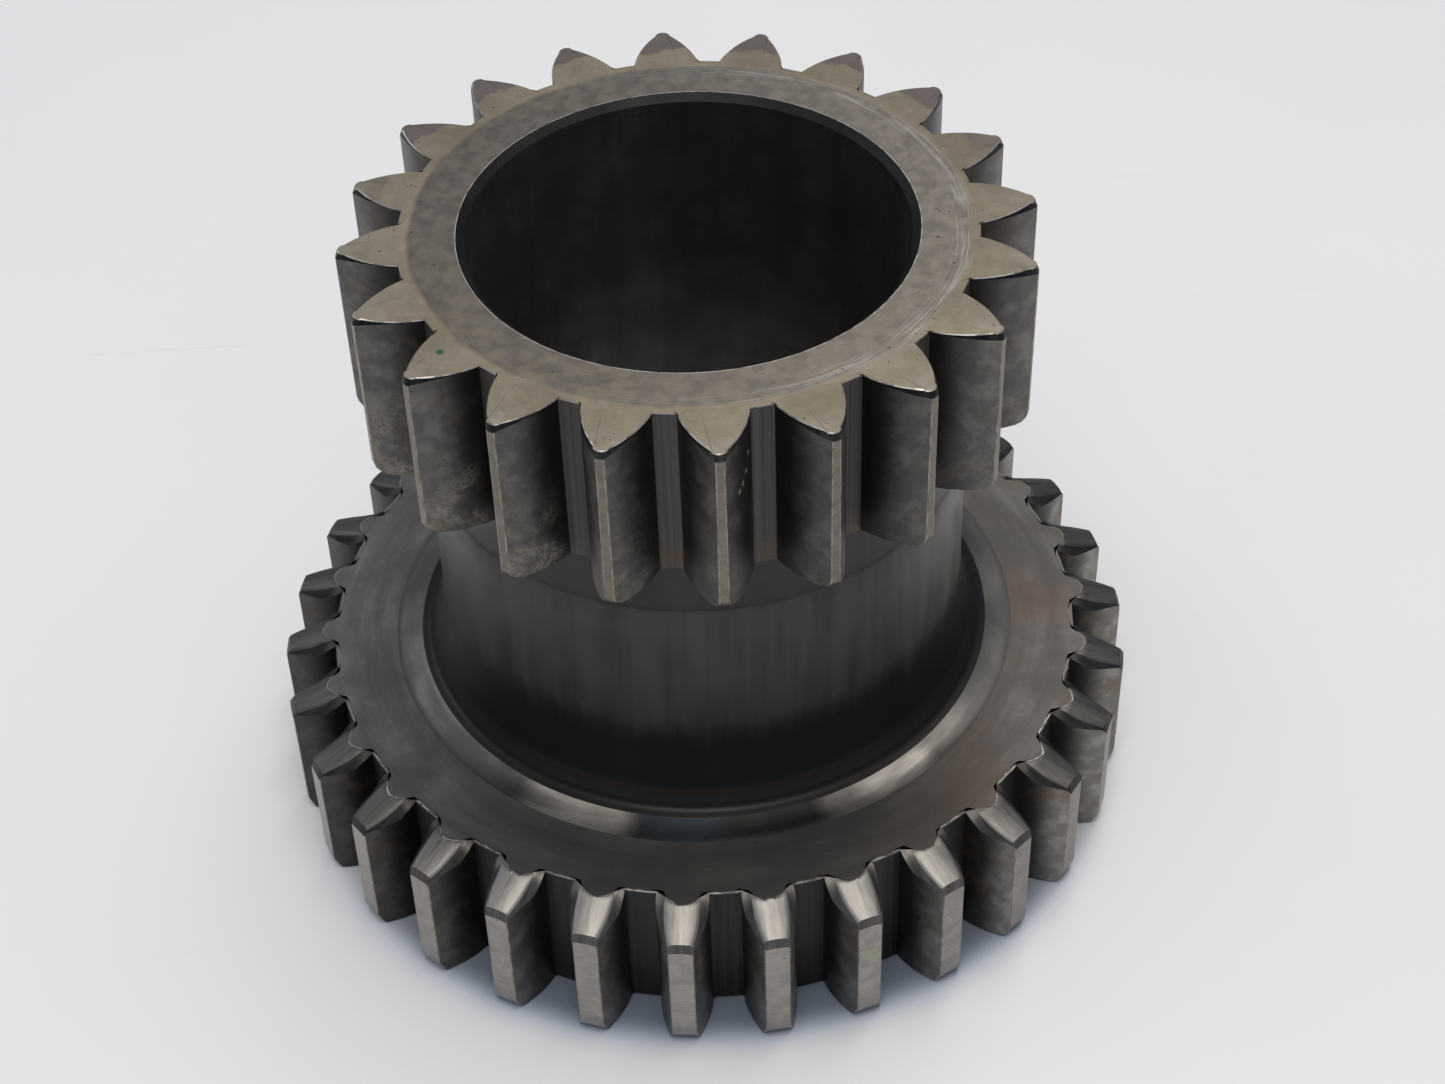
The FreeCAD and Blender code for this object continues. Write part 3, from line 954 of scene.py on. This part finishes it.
def bare_finish(name, dull, bare, least, most):
    """Edges rubbed down to bare steel, here and there still dull."""
    finish = Finish(name, 0.9)
    worn = finish.rise(finish.clouds(1.4, 6.0, seed=21.0), least, most)
    return finish.done(finish.mix(worn, dull, bare), 0.34)


def burr_finish():
    """The burr is painted bright in patches only in front, as a painted highlight, and is
    dull elsewhere.
    """
    finish = Finish("burr", 0.9)
    # painted highlight: the bare patches shine only in front
    worn = finish.both(finish.rise(finish.clouds(1.4, 6.0, seed=21.0), 0.42, 0.58),
                       finish.rise(finish.back, -5.0, -40.0))
    return finish.done(finish.mix(worn, GREY, BRIGHT), 0.34)


FINISHES = {
    "lower face": relief_finish("lower_face", DULL, GREY),
    "large flank": flank_finish("large", 56.5, 62.0),
    "large land": land_finish("large", (0.28, 0.26, 0.24), (0.36, 0.335, 0.305)),
    "large floor": floor_finish("large_floor", (0.013, 0.0125, 0.0115), (0.034, 0.032, 0.029)),
    "tooth end": end_finish("tooth_end", (0.165, 0.157, 0.146), (0.235, 0.224, 0.208), 0.40),
    # the steep shoulders: a darker copy of the tooth ends, as painted shade
    "tooth shoulder": end_finish("tooth_shoulder", (0.075, 0.07, 0.064), (0.14, 0.131, 0.119), 0.38),
    "flange": flange_finish(),
    "foot": foot_finish(),
    "neck": neck_finish(),
    "relief": relief_finish("relief", (0.028, 0.026, 0.023), (0.041, 0.039, 0.034)),
    "small flank": flank_finish("small", 38.9, 46.0),
    "small land": land_finish("small", (0.165, 0.15, 0.12), (0.215, 0.195, 0.157)),
    "small floor": floor_finish("small_floor", (0.040, 0.038, 0.033), (0.080, 0.076, 0.067)),
    "edge": bare_finish("land_edge", (0.16, 0.148, 0.125), (0.30, 0.278, 0.24), 0.36, 0.6),
    "rim": bare_finish("bare_rim", (0.22, 0.20, 0.17), (0.58, 0.545, 0.49), 0.34, 0.56),
    "burr": burr_finish(),
    "upper face": upper_finish(),
    # the filed facets: a much darker copy of the tooth ends, as painted shade
    "facet": end_finish("filed_facet", BLACK, DULL, 0.3),
    # the mouth's chamfers: a much darker copy of the bore, as painted shade
    "bore mouth": bore_finish("bore_mouth", (0.016, 0.0155, 0.0145), (0.028, 0.027, 0.0255)),
    "bore": bore_finish("bore_black", (0.070, 0.068, 0.064), (0.115, 0.112, 0.104)),
}


# One body. The skins meet on shared circles, where they are joined, and the burr along
# the flange's edge is knocked in here and there, as rough handling left it.

SAME_PLACE = 0.004
# Dents in the burr: the size of fine and of broad ones, how deep each kind goes, and how
# far the whole line is set in.
FINE_DENT = 1.1
BROAD_DENT = 3.5
DENT_DEPTH = 0.2
DENT_START = 0.08
# The bend in degrees from which an edge is crisp: between two surfaces, within one, and
# at a large tooth's root.
SHARP_BETWEEN = 9
SHARP_WITHIN = 33
SHARP_ROOT = 80
ROOT_ZONES = {ZONES.index("large flank"), ZONES.index("large floor")}


def join_skins(skins):
    whole = bmesh.new()
    whole.faces.layers.int.new("zone")
    for skin in skins:
        part = bpy.data.meshes.new("part")
        skin.to_mesh(part)
        skin.free()
        whole.from_mesh(part)
        bpy.data.meshes.remove(part)
    bmesh.ops.remove_doubles(whole, verts=whole.verts[:], dist=SAME_PLACE * MM)
    bmesh.ops.recalc_face_normals(whole, faces=whole.faces[:])
    return whole


def batter_flange(body):
    """Knock the points of the flange's outer line inward, by noise."""
    zone_layer = body.faces.layers.int["zone"]
    burr = ZONES.index("burr")
    for vert in body.verts:
        if abs(vert.co.z - FLANGE * MM) > SAME_PLACE * MM:
            continue
        if any(face[zone_layer] == burr for face in vert.link_faces):
            fine = noise.noise(vert.co / (FINE_DENT * MM))
            broad = noise.noise(vert.co / (BROAD_DENT * MM))
            shift = min(0.0, fine * DENT_DEPTH + broad * DENT_DEPTH - DENT_START)
            inward = vert.co.xy.normalized() * shift * MM
            vert.co += Vector((inward.x, inward.y, 0.0))


def mark_sharp_edges(body):
    """Edges between two surfaces are crisp, but a large tooth runs into its root softly."""
    zone_layer = body.faces.layers.int["zone"]
    for edge in body.edges:
        first, second = [face[zone_layer] for face in edge.link_faces]
        limit = SHARP_BETWEEN if first != second else SHARP_WITHIN
        if {first, second} == ROOT_ZONES:
            limit = SHARP_ROOT
        edge.smooth = edge.calc_face_angle(0.0) < math.radians(limit)


body = join_skins([large_skin, neck_skin, bore_skin, small_skin])
batter_flange(body)
open_edges = [edge for edge in body.edges if len(edge.link_faces) != 2]
print("gear skin:", len(body.faces), "faces,", len(open_edges), "open edges")
zone_layer = body.faces.layers.int["zone"]
for face in body.faces:
    face.material_index = face[zone_layer]
    face.smooth = True
mark_sharp_edges(body)
mesh = bpy.data.meshes.new("idler_gear_body")
body.to_mesh(mesh)
body.free()
for zone in ZONES:
    mesh.materials.append(FINISHES[zone])
gear = bpy.data.objects.new("idler_gear_body", mesh)
bpy.context.collection.objects.link(gear)
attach(gear, "root")
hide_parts("idler_gear")
